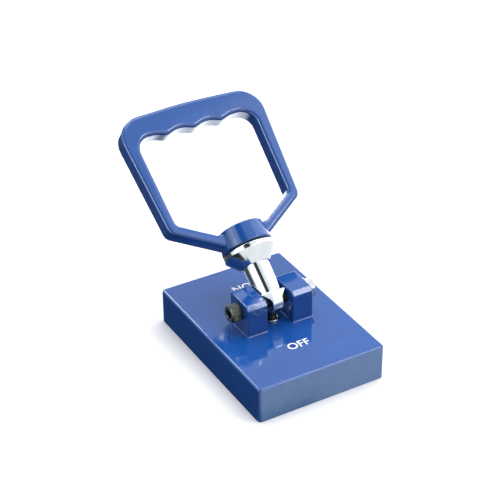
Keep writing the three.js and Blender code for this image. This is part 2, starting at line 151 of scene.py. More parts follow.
def makeBrushing():  # fine straight lines, drawn out along one direction
    tree, given, out = newGroup(
        "brushedLines", "ShaderNodeTree",
        [("Vector", "Vector"), ("Across", "Vector"), ("Low", "Float"), ("High", "Float")],
        [("Value", "Float"), ("Height", "Float")])
    drawn = addNode(tree, "ShaderNodeVectorMath", {0: given["Vector"], 1: given["Across"]}, operation="MULTIPLY")
    noise = addNode(tree, "ShaderNodeTexNoise", {
        "Vector": drawn.outputs[0], "Scale": 1.0, "Detail": 3.0, "Roughness": 0.65})
    return endSpread(tree, given, out, noise.outputs[0])


def makeDust():  # scattered specks, thicker in some places than others
    tree, given, out = newGroup(
        "dustSpecks", "ShaderNodeTree",
        [("Vector", "Vector"), ("Scale", "Float"), ("Size", "Float"), ("Amount", "Float")],
        [("Mask", "Float")])
    cells = addNode(tree, "ShaderNodeTexVoronoi", {"Vector": given["Vector"], "Scale": given["Scale"]})
    speck = remap(tree, cells.outputs["Distance"], given["Size"], 0.0, 0.0, 1.0, smooth=True)
    patches = addNode(tree, "ShaderNodeTexNoise", {"Vector": given["Vector"], "Scale": 70.0, "Detail": 3.0})
    both = compute(tree, "MULTIPLY", speck, remap(tree, patches.outputs[0], 0.45, 0.7, 0.0, 1.0))
    tree.links.new(compute(tree, "MULTIPLY", both, given["Amount"], clamped=True), out["Mask"])
    return tree


grainGroup, brushGroup, dustGroup = makeGrain(), makeBrushing(), makeDust()


def useGrain(tree, here, scale, detail, low=0.0, high=1.0):
    return addNode(tree, "ShaderNodeGroup", {
        "Vector": here, "Scale": scale, "Detail": detail, "Low": low, "High": high}, node_tree=grainGroup).outputs


def useBrushing(tree, here, across):
    return addNode(tree, "ShaderNodeGroup", {
        "Vector": here, "Across": across, "Low": 0.0, "High": 1.0}, node_tree=brushGroup).outputs


def useDust(tree, here, scale, size, amount):
    return addNode(tree, "ShaderNodeGroup", {
        "Vector": here, "Scale": scale, "Size": size, "Amount": amount}, node_tree=dustGroup).outputs["Mask"]


def startFinish(name, plain):
    finish = bpy.data.materials.new(name)
    finish.use_nodes = True
    tree = finish.node_tree
    shader = tree.nodes["Principled BSDF"].inputs
    for key, value in plain.items():
        setSocket(tree, shader[key], value)
    return finish, tree, shader, addNode(tree, "ShaderNodeTexCoord").outputs["Object"]


def mixColours(tree, amount, first, second):
    return addNode(tree, "ShaderNodeMix", {0: amount, 6: first, 7: second}, data_type="RGBA").outputs[2]


def addBump(tree, shader, height, strength, distance):
    bump = addNode(tree, "ShaderNodeBump", {"Height": height, "Strength": strength, "Distance": distance})
    tree.links.new(bump.outputs[0], shader["Normal"])


# finishes

# the pale tint colours the real dust specks and also a lighter sheen painted on the front face, which is painted
# light
enamelLook = {
    "deep": (0.0080, 0.060, 0.265), "light": (0.0105, 0.073, 0.31), "dustAndSheenTint": (0.36, 0.60, 0.85),
    "gloss": (0.05, 0.10), "glossScale": 45.0, "toneScale": 22.0, "peelScale": 330.0, "peel": 0.05,
    "peelHeight": 0.0006, "speckScale": 480.0, "speckSize": 0.16, "specks": 0.5, "frontSheen": 0.24,
    "frontSheenFacing": (-0.75, -1.0), "frontSheenPlace": (-0.090, -0.094), "sheenGrainScale": 160.0, "sheenGrain": (0.86, 1.1),
    "dustAndSheenRough": 0.8,
}


def makeEnamel(look):
    finish, tree, shader, here = startFinish("blueEnamel", {"IOR": 1.52})
    tone = useGrain(tree, here, look["toneScale"], 3.0)["Value"]
    paint = mixColours(tree, tone, look["deep"], look["light"])
    specks = useDust(tree, here, look["speckScale"], look["speckSize"], look["specks"])
    # a lighter sheen painted on the front face only, as painted light for the light that face catches
    facing = separate(tree, addNode(tree, "ShaderNodeNewGeometry").outputs["Normal"])["Y"]
    front = remap(tree, facing, *look["frontSheenFacing"], 0.0, look["frontSheen"])
    frontSheenMask = remap(tree, separate(tree, here)["Y"], *look["frontSheenPlace"], 0.0, front)
    sheenGrain = useGrain(tree, here, look["sheenGrainScale"], 6.0, *look["sheenGrain"])["Value"]
    # the painted front sheen and the real dust specks share one mask, one tint and one roughness
    dustAndSheen = compute(tree, "ADD", compute(tree, "MULTIPLY", frontSheenMask, sheenGrain), specks, clamped=True)
    tree.links.new(mixColours(tree, dustAndSheen, paint, look["dustAndSheenTint"]), shader["Base Color"])
    gloss = useGrain(tree, here, look["glossScale"], 5.0, *look["gloss"])["Value"]
    tree.links.new(compute(tree, "MULTIPLY_ADD", dustAndSheen, look["dustAndSheenRough"], gloss), shader["Roughness"])
    peel = useGrain(tree, here, look["peelScale"], 1.0)["Height"]
    addBump(tree, shader, peel, look["peel"], look["peelHeight"])
    return finish


chromeLook = {
    "bright": (0.60, 0.605, 0.61), "dull": (0.50, 0.51, 0.52), "toneScale": 90.0, "dulled": 0.6,
    "smearScale": 60.0, "gloss": (0.06, 0.12), "across": (300.0, 2400.0, 2400.0), "lines": 0.012,
}
lineHeight, grainHeight = 0.0002, 0.0003  # metres, for the bumps of metals and of matt surfaces


def makeChrome(look):
    finish, tree, shader, here = startFinish("polishedChrome", {"Metallic": 1.0})
    tone = useGrain(tree, here, look["toneScale"], 4.0, 0.0, look["dulled"])["Value"]
    tree.links.new(mixColours(tree, tone, look["bright"], look["dull"]), shader["Base Color"])
    smears = useGrain(tree, here, look["smearScale"], 6.0, *look["gloss"])["Value"]
    tree.links.new(smears, shader["Roughness"])
    addBump(tree, shader, useBrushing(tree, here, look["across"])["Height"], look["lines"], lineHeight)
    return finish


def makeMetal(name, look):  # bare or plated metal with lines along one way
    finish, tree, shader, here = startFinish(name, {"Metallic": look["metallic"]})
    lines = useBrushing(tree, here, look["across"])
    tree.links.new(mixColours(tree, lines["Value"], look["dark"], look["light"]), shader["Base Color"])
    blotches = useGrain(tree, here, look["blotch"], 4.0, *look["gloss"])["Value"]
    tree.links.new(blotches, shader["Roughness"])
    addBump(tree, shader, lines["Height"], look["lines"], lineHeight)
    return finish


def makeMatt(name, look):  # sintered, rubber or printed surfaces
    finish, tree, shader, here = startFinish(name, {"IOR": look["ior"]})
    tone = useGrain(tree, here, look["toneScale"], 5.0)["Value"]
    plain = mixColours(tree, tone, look["dark"], look["light"])
    specks = useDust(tree, here, 900.0, 0.2, look["specks"])
    tree.links.new(mixColours(tree, specks, plain, look["speck"]), shader["Base Color"])
    rough = useGrain(tree, here, look["toneScale"] * 2, 4.0, *look["gloss"])["Value"]
    tree.links.new(rough, shader["Roughness"])
    addBump(tree, shader, useGrain(tree, here, look["grainScale"], 6.0)["Height"], look["grain"], grainHeight)
    return finish


metalLooks = {
    "blackOxide": {
        "metallic": 0.85, "dark": (0.034, 0.038, 0.031), "light": (0.066, 0.072, 0.059),
        "across": (200.0, 900.0, 900.0), "blotch": 260.0, "gloss": (0.26, 0.42), "lines": 0.06},
    "zincPlate": {
        "metallic": 1.0, "dark": (0.40, 0.405, 0.41), "light": (0.54, 0.54, 0.53),
        "across": (1500.0, 1500.0, 400.0), "blotch": 200.0, "gloss": (0.14, 0.28), "lines": 0.05},
    "groundSteel": {
        "metallic": 1.0, "dark": (0.36, 0.37, 0.385), "light": (0.56, 0.57, 0.58),
        "across": (4200.0, 60.0, 4200.0), "blotch": 90.0, "gloss": (0.24, 0.40), "lines": 0.10},
    "brushedBrass": {
        "metallic": 1.0, "dark": (0.50, 0.34, 0.12), "light": (0.68, 0.50, 0.22),
        "across": (3800.0, 70.0, 3800.0), "blotch": 90.0, "gloss": (0.25, 0.42), "lines": 0.10},
    "springSteel": {
        "metallic": 1.0, "dark": (0.30, 0.30, 0.31), "light": (0.48, 0.48, 0.49),
        "across": (900.0, 900.0, 900.0), "blotch": 300.0, "gloss": (0.22, 0.34), "lines": 0.03},
}
mattLooks = {
    "sinteredFerrite": {
        "ior": 1.6, "dark": (0.022, 0.022, 0.025), "light": (0.045, 0.045, 0.05), "toneScale": 120.0,
        "speck": (0.16, 0.16, 0.17), "specks": 0.7, "gloss": (0.55, 0.75), "grainScale": 1800.0, "grain": 0.3},
    "blackRubber": {
        "ior": 1.45, "dark": (0.006, 0.006, 0.007), "light": (0.013, 0.013, 0.014), "toneScale": 200.0,
        "speck": (0.09, 0.09, 0.09), "specks": 0.4, "gloss": (0.5, 0.7), "grainScale": 2200.0, "grain": 0.25},
    "letterInk": {
        "ior": 1.45, "dark": (0.74, 0.76, 0.80), "light": (0.86, 0.87, 0.89), "toneScale": 300.0,
        "speck": (0.35, 0.42, 0.6), "specks": 0.35, "gloss": (0.35, 0.5), "grainScale": 1500.0, "grain": 0.12},
}

finishes = {"blueEnamel": makeEnamel(enamelLook), "polishedChrome": makeChrome(chromeLook)}
finishes.update({name: makeMetal(name, look) for name, look in metalLooks.items()})
finishes.update({name: makeMatt(name, look) for name, look in mattLooks.items()})
print("finishes made:", ", ".join(finishes))

# drawing tools


def roundedOutline(corners, steps=6):
    points = []
    for i, corner in enumerate(corners):
        here = Vector(corner[:2])
        radius = corner[2] if len(corner) > 2 else 0
        if radius == 0:
            points.append(here)
            continue
        before = (Vector(corners[i - 1][:2]) - here).normalized()
        after = (Vector(corners[(i + 1) % len(corners)][:2]) - here).normalized()
        half = math.acos(max(-1, min(1, before.dot(after)))) / 2
        centre = here + (before + after).normalized() * (radius / math.sin(half))
        arm = here + before * (radius / math.tan(half)) - centre
        sweep = math.copysign(math.pi - 2 * half, after.x * before.y - after.y * before.x)
        for step in range(steps + 1):
            turn = sweep * step / steps
            points.append(centre + Vector((
                arm.x * math.cos(turn) - arm.y * math.sin(turn), arm.x * math.sin(turn) + arm.y * math.cos(turn))))
    return points


def circleOutline(radius, centre=(0, 0), sides=48):
    turns = [2 * math.pi * i / sides for i in range(sides)]
    return [
        Vector((centre[0] + radius * math.cos(turn), centre[1] + radius * math.sin(turn))) for turn in turns]


def insetOutline(points, distance):  # towards the left of an outline's direction
    moved = []
    for i, here in enumerate(points):
        arriving = (here - points[i - 1]).normalized()
        leaving = (points[(i + 1) % len(points)] - here).normalized()
        normal = Vector((-arriving.y - leaving.y, arriving.x + leaving.x)).normalized()
        spread = max(0.4, math.sqrt(max(0, (1 + arriving.dot(leaving)) / 2)))
        moved.append(here + normal * (distance / spread))
    return moved


def quarterTurns(steps):
    return [math.pi / 2 * i / steps for i in range(steps + 1)]


def edgeRings(low, high, lowRound, highRound, steps=6):  # (inset, height) up a wall with two rounded edges
    turns = quarterTurns(steps)
    rings = [(lowRound * (1 - math.sin(t)), low + lowRound * (1 - math.cos(t))) for t in turns]
    return rings + [(highRound * (1 - math.cos(t)), high - highRound * (1 - math.sin(t))) for t in turns]


def addRings(mesh, rings, closed=False):
    loops = [[mesh.verts.new(point) for point in ring] for ring in rings]
    for lower, upper in list(zip(loops, loops[1:])) + ([(loops[-1], loops[0])] if closed else []):
        count = max(len(lower), len(upper))
        for i in range(count):
            corners = [lower[i % len(lower)], lower[(i + 1) % len(lower)],
                       upper[(i + 1) % len(upper)], upper[i % len(upper)]]
            corners = list(dict.fromkeys(corners))
            if len(corners) > 2:
                mesh.faces.new(corners)
    return loops[0], loops[-1]


def addWall(mesh, outline, rings, way=1):
    return addRings(mesh, [
        [(p.x, p.y, height) for p in insetOutline(outline, way * inset)] for inset, height in rings])


def fillBetween(mesh, loops):
    edges = []
    for loop in loops:
        for i, corner in enumerate(loop):
            edges.append(mesh.edges.get((corner, loop[i - 1])) or mesh.edges.new((corner, loop[i - 1])))
    bmesh.ops.triangle_fill(mesh, use_beauty=True, use_dissolve=False, edges=edges)


def addTurned(mesh, profile, sides, closed=False):
    turns = [2 * math.pi * i / sides for i in range(sides)]
    rings = []
    for radius, height in profile:
        if radius < 1e-6:
            rings.append([(0, 0, height)])
        else:
            rings.append([(radius * math.cos(t), radius * math.sin(t), height) for t in turns])
    return addRings(mesh, rings, closed)


def addPlate(mesh, outline, holes, low, high, edge, holeEdge, steps=6):
    ends = [addWall(mesh, outline, edgeRings(low, high, edge, edge, steps))]
    ends += [addWall(mesh, hole, edgeRings(low, high, holeEdge, holeEdge, steps), -1) for hole in holes]
    fillBetween(mesh, [end[0] for end in ends])
    fillBetween(mesh, [end[1] for end in ends])


def makePiece(name, mesh):
    bmesh.ops.remove_doubles(mesh, verts=mesh.verts, dist=1e-4)
    bmesh.ops.recalc_face_normals(mesh, faces=mesh.faces)
    data = bpy.data.meshes.new(name)
    mesh.to_mesh(data)
    mesh.free()
    return show(bpy.data.objects.new(name, data))


def turnedPiece(name, profile, sides, closed=False):
    mesh = bmesh.new()
    addTurned(mesh, profile, sides, closed)
    return makePiece(name, mesh)


def cylinder(name, radius, low, high, sides):
    return turnedPiece(name, [(0, low), (radius, low), (radius, high), (0, high)], sides)


def hexKey(acrossFlats, low, high):
    return cylinder("key", acrossFlats / math.sqrt(3), low, high, 6)


def roundTurned(name, corners, steps, sides, closed=False):
    return turnedPiece(name, roundedOutline(corners, steps), sides, closed)


def freeze(piece):  # a piece's modifiers become its plain mesh
    data = bpy.data.meshes.new_from_object(piece.evaluated_get(bpy.context.evaluated_depsgraph_get()))
    worn = piece.data
    piece.modifiers.clear()
    piece.data = data
    data.name = piece.name
    bpy.data.meshes.remove(worn)
    return piece


def discard(piece):
    spare = piece.data
    bpy.data.objects.remove(piece)
    bpy.data.meshes.remove(spare)


def combine(piece, operation, *others):
    for other in others:
        step = piece.modifiers.new("combine", "BOOLEAN")
        step.operation, step.object, step.solver = operation, other, "EXACT"
    freeze(piece)
    for other in others:
        discard(other)
    return piece


def settle(piece, body, finish, replaced=(), place=Matrix(), sharpOver=32):
    piece.data.transform(place @ Matrix.Scale(mm, 4))
    for polygon in piece.data.polygons:
        polygon.use_smooth = True
    piece.data.set_sharp_from_angle(angle=math.radians(sharpOver))
    weighted = piece.modifiers.new("flatFaces", "WEIGHTED_NORMAL")
    weighted.keep_sharp, weighted.weight = True, 80
    freeze(piece)
    piece.data.materials.clear()
    piece.data.materials.append(finishes[finish])
    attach(piece, body)
    if replaced:
        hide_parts(*replaced)
    return piece


# geometry node trees


def alongZ(tree, value):
    return addNode(tree, "ShaderNodeCombineXYZ", {"Z": value}).outputs[0]


def endCoated(tree, given, out, geometry):
    real = addNode(tree, "GeometryNodeRealizeInstances", {0: geometry})
    coated = addNode(tree, "GeometryNodeSetMaterial", {0: real.outputs[0], "Material": given["Finish"]})
    tree.links.new(coated.outputs[0], out[0])
    return tree


def makeSpotTree():  # one part on each of the host's points
    tree, given, out = newGroup(
        "partOnSpots", "GeometryNodeTree",
        [("Spots", "Geometry"), ("Part", "Object"), ("Turn", "Float"), ("Seed", "Int"), ("Finish", "Material")],
        [("Pieces", "Geometry")])
    part = addNode(tree, "GeometryNodeObjectInfo", {"Object": given["Part"]})
    turn = addNode(tree, "FunctionNodeRandomValue", {
        2: 0.0, 3: given["Turn"], "Seed": given["Seed"]}, data_type="FLOAT")
    put = addNode(tree, "GeometryNodeInstanceOnPoints", {
        "Points": given["Spots"], "Instance": part.outputs["Geometry"], "Rotation": alongZ(tree, turn.outputs[1])})
    return endCoated(tree, given, out, put.outputs[0])


def makeKnurlTree():  # straight ridges round a head
    tree, given, out = newGroup(
        "headKnurl", "GeometryNodeTree",
        [("Host", "Geometry"), ("Count", "Int"), ("Radius", "Float"), ("Width", "Float"), ("Length", "Float"),
         ("Start", "Float"), ("Finish", "Material")],
        [("Ridges", "Geometry")])
    circle = addNode(tree, "GeometryNodeMeshCircle", {"Vertices": given["Count"], "Radius": given["Radius"]})
    middle = compute(tree, "MULTIPLY_ADD", given["Length"], 0.5, given["Start"])
    lifted = addNode(tree, "GeometryNodeSetPosition", {0: circle.outputs[0], "Offset": alongZ(tree, middle)})
    size = addNode(tree, "ShaderNodeCombineXYZ", {0: given["Width"], 1: given["Width"], 2: given["Length"]})
    ridge = addNode(tree, "GeometryNodeMeshCube", {"Size": size.outputs[0]})
    share = compute(tree, "DIVIDE", 2 * math.pi, given["Count"])
    index = addNode(tree, "GeometryNodeInputIndex").outputs[0]
    spin = alongZ(tree, compute(tree, "MULTIPLY_ADD", index, share, math.pi / 4))
    put = addNode(tree, "GeometryNodeInstanceOnPoints", {
        "Points": lifted.outputs[0], "Instance": ridge.outputs[0], "Rotation": spin})
    return endCoated(tree, given, out, put.outputs[0])


def makeCoilTree():  # a wire wound round +Z
    tree, given, out = newGroup(
        "woundWire", "GeometryNodeTree",
        [("Host", "Geometry"), ("Turns", "Float"), ("Radius", "Float"), ("Start", "Float"), ("Height", "Float"),
         ("Wire", "Float"), ("Sides", "Int"), ("Steps", "Int"), ("Finish", "Material")],
        [("Coil", "Geometry")])
    path = addNode(tree, "GeometryNodeCurveSpiral", {
        "Resolution": given["Steps"], "Rotations": given["Turns"], "Start Radius": given["Radius"],
        "End Radius": given["Radius"], "Height": given["Height"]})
    lifted = addNode(tree, "GeometryNodeSetPosition", {
        0: path.outputs[0], "Offset": alongZ(tree, given["Start"])})
    section = addNode(tree, "GeometryNodeCurvePrimitiveCircle", {
        "Resolution": given["Sides"], "Radius": given["Wire"]})
    wire = addNode(tree, "GeometryNodeCurveToMesh", {
        "Curve": lifted.outputs[0], "Profile Curve": section.outputs[0], "Fill Caps": True})
    return endCoated(tree, given, out, wire.outputs[0])


spotTree, knurlTree, coilTree = makeSpotTree(), makeKnurlTree(), makeCoilTree()


def grow(name, tree, values, spots=((0, 0, 0),)):
    data = bpy.data.meshes.new(name)
    data.from_pydata([tuple(spot) for spot in spots], [], [])
    piece = bpy.data.objects.new(name, data)
    modifier = piece.modifiers.new(tree.name, "NODES")
    modifier.node_group = tree
    sockets = {item.name: item.identifier for item in tree.interface.items_tree if item.in_out == "INPUT"}
    for label, value in values.items():
        modifier[sockets[label]] = value
    return freeze(show(piece))


def growOnSpots(name, part, spots, finish, turn=0.0, seed=1):
    piece = grow(name, spotTree, {"Part": part, "Turn": turn, "Seed": seed, "Finish": finishes[finish]}, spots)
    discard(part)
    return piece


def boxOf(node):
    low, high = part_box(node)
    return low / mm, high / mm


def nodeCentre(node):
    low, high = boxOf(node)
    return (low + high) / 2


def numbered(stem, count):
    return [f"{stem}_{i}" for i in range(1, count + 1)]


# magnet block

blockForm = {
    "corner": 3.0, "topEdge": 1.9, "footEdge": 0.5, "wall": 6.0, "roof": 8.0, "bore": 5.2,
    "cavityCorner": 1.2, "earHole": 3.3, "poleHole": 2.3, "poleDepth": 5.8,
}
blockLow, blockHigh = boxOf("housing")
pivotAt = pivotPoint / mm
earSpots = [nodeCentre(node) for node in numbered("ear_screw", 4)]
roofUnder = blockHigh.z - blockForm["roof"]


def boxOutline(low, high, corner, steps=6, runs=1):
    spots = ((low[0], low[1]), (high[0], low[1]), (high[0], high[1]), (low[0], high[1]))
    points = roundedOutline([(x, y, corner) for x, y in spots], steps)
    if runs == 1:
        return points
    split = []
    for i, here in enumerate(points):
        split.append(here)
        if i % (steps + 1) == steps:  # a straight side starts here
            after = points[(i + 1) % len(points)]
            split += [here.lerp(after, step / runs) for step in range(1, runs)]
    return split


def makeBlockShell(form):
    mesh = bmesh.new()
    wall = form["wall"]
    rim, deck = addWall(mesh, boxOutline(blockLow, blockHigh, form["corner"]),
                        edgeRings(blockLow.z, blockHigh.z, form["footEdge"], form["topEdge"], 8))
    mouth, ceiling = addWall(
        mesh, boxOutline((blockLow.x + wall, blockLow.y + wall), (blockHigh.x - wall, blockHigh.y - wall),
                         form["cavityCorner"]), [(0, blockLow.z), (0, roofUnder)])
    through = [circleOutline(form["bore"], (pivotAt.x, pivotAt.y))]
    through += [circleOutline(form["earHole"], spot) for spot in earSpots]
    drilled = [addWall(mesh, hole, [(0, roofUnder), (0, blockHigh.z)]) for hole in through]
    blind = []
    for node in numbered("pole_screw", 6):
        low, high = addWall(mesh, circleOutline(form["poleHole"], nodeCentre(node), 24), [
            (0, roofUnder), (0, roofUnder + form["poleDepth"])])
        mesh.faces.new(high)
        blind.append(low)
    fillBetween(mesh, [rim, mouth])
    fillBetween(mesh, [deck] + [hole[1] for hole in drilled])
    fillBetween(mesh, [ceiling] + [hole[0] for hole in drilled] + blind)
    settle(makePiece("blockShell", mesh), "base", "blueEnamel", ["housing"])


makeBlockShell(blockForm)

earForm = {
    "edge": 0.9, "frontBevel": 3.0, "corner": 0.8, "footCorner": 0.4, "bore": 4.3, "boreEdge": 0.3,
    "screwHole": 3.3, "screwDepth": 9.3,
}


def makeEar(name, node, form):
    low, high = boxOf(node)
    bevel, corner, foot = form["frontBevel"], form["corner"], form["footCorner"]
    outline = roundedOutline([
        (low.y, low.z, foot), (high.y, low.z, foot), (high.y, high.z, corner),
        (low.y + bevel, high.z, corner), (low.y, high.z - bevel, corner)])
    mesh = bmesh.new()
    addPlate(mesh, outline, [circleOutline(form["bore"], (pivotAt.y, pivotAt.z))], low.x, high.x,
             form["edge"], form["boreEdge"])
    upright = Matrix(((0, 0, 1, 0), (1, 0, 0, 0), (0, 1, 0, 0), (0, 0, 0, 1)))
    bmesh.ops.transform(mesh, matrix=upright, verts=mesh.verts)
    ear = makePiece(name, mesh)
    drills = []
    for spot in earSpots:
        if low.x < spot.x < high.x:
            drill = cylinder("drill", form["screwHole"], -1, form["screwDepth"], 24)
            drill.data.transform(Matrix.Translation((spot.x, spot.y, low.z)))
            drills.append(drill)
    combine(ear, "DIFFERENCE", *drills)
    settle(ear, "base", "blueEnamel", [node])


makeEar("earLeft", "ear_left", earForm)
makeEar("earRight", "ear_right", earForm)

filletForm = {"reach": 0.9, "overlap": 0.5, "sink": 0.05, "corner": 0.5, "steps": 6}


def makeFillet(name, node, form):  # bead of paint where an ear meets the deck
    low, high = boxOf(node)
    reach, overlap, foot = form["reach"], form["overlap"], blockHigh.z - form["sink"]
    rings = [(overlap, foot), (-reach, foot)]
    for turn in quarterTurns(form["steps"]):
        rings.append((-reach * (1 - math.sin(turn)), blockHigh.z + reach * (1 - math.cos(turn))))
    rings.append((overlap, blockHigh.z + reach))
    mesh = bmesh.new()
    outline = boxOutline((low.x, low.y), (high.x, high.y), form["corner"], 4)
    addRings(mesh, [
        [(p.x, p.y, height) for p in insetOutline(outline, inset)] for inset, height in rings], closed=True)
    settle(makePiece(name, mesh), "base", "blueEnamel")


makeFillet("filletLeft", "ear_left", filletForm)
makeFillet("filletRight", "ear_right", filletForm)
print("block shell and ears made")


def softCopy(name, node, width):  # a node's own shape with its edges broken
    mesh = bmesh.new()
    mesh.from_mesh(frame["nodes"][node].data)
    bmesh.ops.scale(mesh, vec=(1 / mm,) * 3, verts=mesh.verts)
    bmesh.ops.remove_doubles(mesh, verts=mesh.verts, dist=1e-3)
    bmesh.ops.dissolve_limit(mesh, angle_limit=math.radians(1), verts=mesh.verts, edges=mesh.edges)
    piece = makePiece(name, mesh)
    bevel = piece.modifiers.new("brokenEdges", "BEVEL")
    bevel.width, bevel.segments = width, 2
    bevel.limit_method, bevel.angle_limit = "ANGLE", math.radians(40)
    settle(freeze(piece), "base", "groundSteel", [node])


packForm = {"yokeEdge": 0.3, "barEdge": 0.25, "magnetEdge": 0.4, "stripEdge": 0.2}
softCopy("yokePlate", "yoke_plate", packForm["yokeEdge"])
for side in ("left", "mid", "right"):
    softCopy("poleBar" + side.capitalize(), "pole_bar_" + side, packForm["barEdge"])


def makeRow(name, stem, edge, finish):
    nodes = numbered(stem, 4)
    low, high = boxOf(nodes[0])
    half = (high - low) / 2
    mesh = bmesh.new()
    addPlate(mesh, boxOutline(-half, half, edge, 3), [], -half.z, half.z, edge, edge, 3)
    spots = [nodeCentre(node) for node in nodes]
    row = growOnSpots(name, makePiece("oneOf" + name, mesh), spots, finish)
    settle(row, "base", finish, nodes)


makeRow("magnets", "magnet", packForm["magnetEdge"], "sinteredFerrite")
makeRow("fillerStrips", "filler_strip", packForm["stripEdge"], "brushedBrass")

# "head" gives the corners of a head's profile from its middle to the shank
poleScrewForm = {
    "radius": 2.0, "head": ((4.2, 0, 0.15), (2.0, 2.3)), "tip": 0.5, "socket": 2.5, "socketDepth": 1.6, "seed": 7}
earScrewForm = {
    "radius": 3.0, "head": ((5.0, 0, 0.5), (5.0, 4.0, 0.1), (3.0, 4.0)), "tip": 0.6, "socket": 5.0,
    "socketDepth": 2.4, "seed": 4}


def makeScrews(name, stem, count, form):
    nodes = numbered(stem, count)
    low, high = boxOf(nodes[0])
    length, radius, tip = high.z - low.z, form["radius"], form["tip"]
    screw = roundTurned("oneOf" + name, [
        (0, 0), *form["head"], (radius, length - tip), (radius - tip, length), (0, length)], 3, 32)
    combine(screw, "DIFFERENCE", hexKey(form["socket"], -1, form["socketDepth"]))
    spots = [(spot.x, spot.y, low.z) for spot in map(nodeCentre, nodes)]
    row = growOnSpots(name, screw, spots, "zincPlate", 2 * math.pi, form["seed"])
    settle(row, "base", "zincPlate", nodes)


makeScrews("poleScrews", "pole_screw", 6, poleScrewForm)
makeScrews("earScrews", "ear_screw", 4, earScrewForm)
print("magnet pack made")

# lettering on the deck

letterForm = {
    "size": 9.6, "thick": 0.03, "bolder": 0.12, "spacing": 1.02, "off": (0.0, -67.2), "on": (1.6, 13.8)}


def makeLetters(name, words, spot, turn, form):
    text = bpy.data.curves.new(name, "FONT")
    text.body, text.size, text.extrude, text.offset = words, form["size"], form["thick"], form["bolder"]
    text.align_x, text.align_y, text.space_character = "CENTER", "CENTER", form["spacing"]
    holder = show(bpy.data.objects.new(name + "Curve", text))
    data = bpy.data.meshes.new_from_object(holder.evaluated_get(bpy.context.evaluated_depsgraph_get()))
    data.name = name
    bpy.data.objects.remove(holder)
    mesh = bmesh.new()
    mesh.from_mesh(data)
    bpy.data.meshes.remove(data)
    place = Matrix.Translation(Vector((*spot, blockHigh.z + form["thick"])) * mm)
    settle(makePiece(name, mesh), "base", "letterInk", place=place @ Matrix.Rotation(turn, 4, "Z"))


makeLetters("lettersOff", "OFF", letterForm["off"], 0, letterForm)
makeLetters("lettersOn", "ON", letterForm["on"], math.pi, letterForm)

# cross bolt, washer and nut

alongBolt = Matrix.Translation(pivotPoint) @ Matrix.Rotation(math.pi / 2, 4, "Y")
boltForm = {
    "radius": 4.0, "head": 6.3, "headFace": -34.5, "headSeat": -26.5, "chamfer": 0.9, "socket": 6.0,
    "socketDepth": 4.0, "mouth": 4.3, "mouthDepth": 0.9, "drill": 2.8, "drillTip": 1.2, "core": 3.45,
    "threadFrom": 26.4, "end": 34.0, "endChamfer": 0.7,
}
knurlForm = {"count": 50, "radius": 6.28, "width": 0.3, "length": 5.8, "start": -33.1}
threadForm = {"pitch": 1.25, "radius": 3.5, "ridge": 0.46, "runOut": 0.9}


def makeBolt(form, knurl, thread):
    radius, head, core, drill = (form[key] for key in ("radius", "head", "core", "drill"))
    face, seat, root, end = (form[key] for key in ("headFace", "headSeat", "threadFrom", "end"))
    chamfer, endChamfer, deep = form["chamfer"], form["endChamfer"], face + form["socketDepth"]
    bolt = roundTurned("crossBolt", [
        (0, face), (head - chamfer, face, 0.25), (head, face + chamfer, 0.3), (head, seat, 0.25), (radius, seat),
        (radius, root), (core, root + 0.6), (core, end - endChamfer), (core - endChamfer, end), (0, end)], 4, 96)
    tip = turnedPiece("drillTip", [
        (0, deep - 1), (drill, deep - 1), (drill, deep), (0, deep + form["drillTip"])], 32)
    inside = face + form["mouthDepth"]
    mouth = turnedPiece("mouth", [
        (0, face - 1), (form["mouth"], face - 1), (drill, inside), (0, inside)], 48)
    combine(bolt, "DIFFERENCE", hexKey(form["socket"], face - 1, deep), tip, mouth)
    settle(bolt, "base", "blackOxide", ["pivot_bolt"], alongBolt)
    ridges = grow("boltKnurl", knurlTree, {
        "Count": knurl["count"], "Radius": knurl["radius"], "Width": knurl["width"], "Length": knurl["length"],
        "Start": knurl["start"], "Finish": finishes["blackOxide"]})
    settle(ridges, "base", "blackOxide", place=alongBolt)
    start = root + thread["runOut"]
    run = end - thread["runOut"] - start
    ridge = grow("boltThread", coilTree, {
        "Turns": run / thread["pitch"], "Radius": thread["radius"], "Start": start, "Height": run,
        "Wire": thread["ridge"], "Sides": 4, "Steps": 32, "Finish": finishes["blackOxide"]})
    settle(ridge, "base", "blackOxide", place=alongBolt, sharpOver=50)


makeBolt(boltForm, knurlForm, threadForm)

washerForm = {"bore": 4.3, "radius": 8.0, "low": 26.5, "high": 28.1, "edge": 0.3, "boreEdge": 0.2}
nutForm = {
    "acrossFlats": 13.0, "low": 28.4, "high": 32.4, "bore": 4.06, "corner": 0.4, "face": 0.1, "lead": 0.6,
    "leadWide": 1.6,
}


def makeWasher(form):
    bore, radius, low, high = (form[key] for key in ("bore", "radius", "low", "high"))
    edge, boreEdge = form["edge"], form["boreEdge"]
    washer = roundTurned("boltWasher", [
        (bore, low, boreEdge), (radius, low, edge), (radius, high, edge), (bore, high, boreEdge)], 4, 96, True)
    settle(washer, "base", "zincPlate", ["pivot_washer"], alongBolt)


def makeNut(form):
    flat, corner = form["acrossFlats"] / 2, form["acrossFlats"] / math.sqrt(3)
    slope = (corner - flat) * math.tan(math.pi / 6)
    low, high, bore, lead = (form[key] for key in ("low", "high", "bore", "lead"))
    face, wide = flat - form["face"], bore + form["leadWide"]
    turned = turnedPiece("chamfers", [
        (0, low), (face, low), (corner, low + slope), (corner, high - slope), (face, high), (0, high)], 96)
    mesh = bmesh.new()
    turns = [math.pi * i / 3 for i in range(6)]
    hexagon = [(corner * math.cos(turn), corner * math.sin(turn), form["corner"]) for turn in turns]
    addPlate(mesh, roundedOutline(hexagon, 4), [], low, high, 0.01, 0.01, 1)
    nut = combine(makePiece("boltNut", mesh), "INTERSECT", turned)
    combine(nut, "DIFFERENCE", turnedPiece("bore", [
        (0, low - 1), (wide, low - 1), (bore, low + lead), (bore, high - lead), (wide, high + 1),
        (0, high + 1)], 64))
    settle(nut, "base", "zincPlate", ["pivot_nut"], alongBolt)


makeWasher(washerForm)
makeNut(nutForm)
print("cross bolt made")

# release plunger

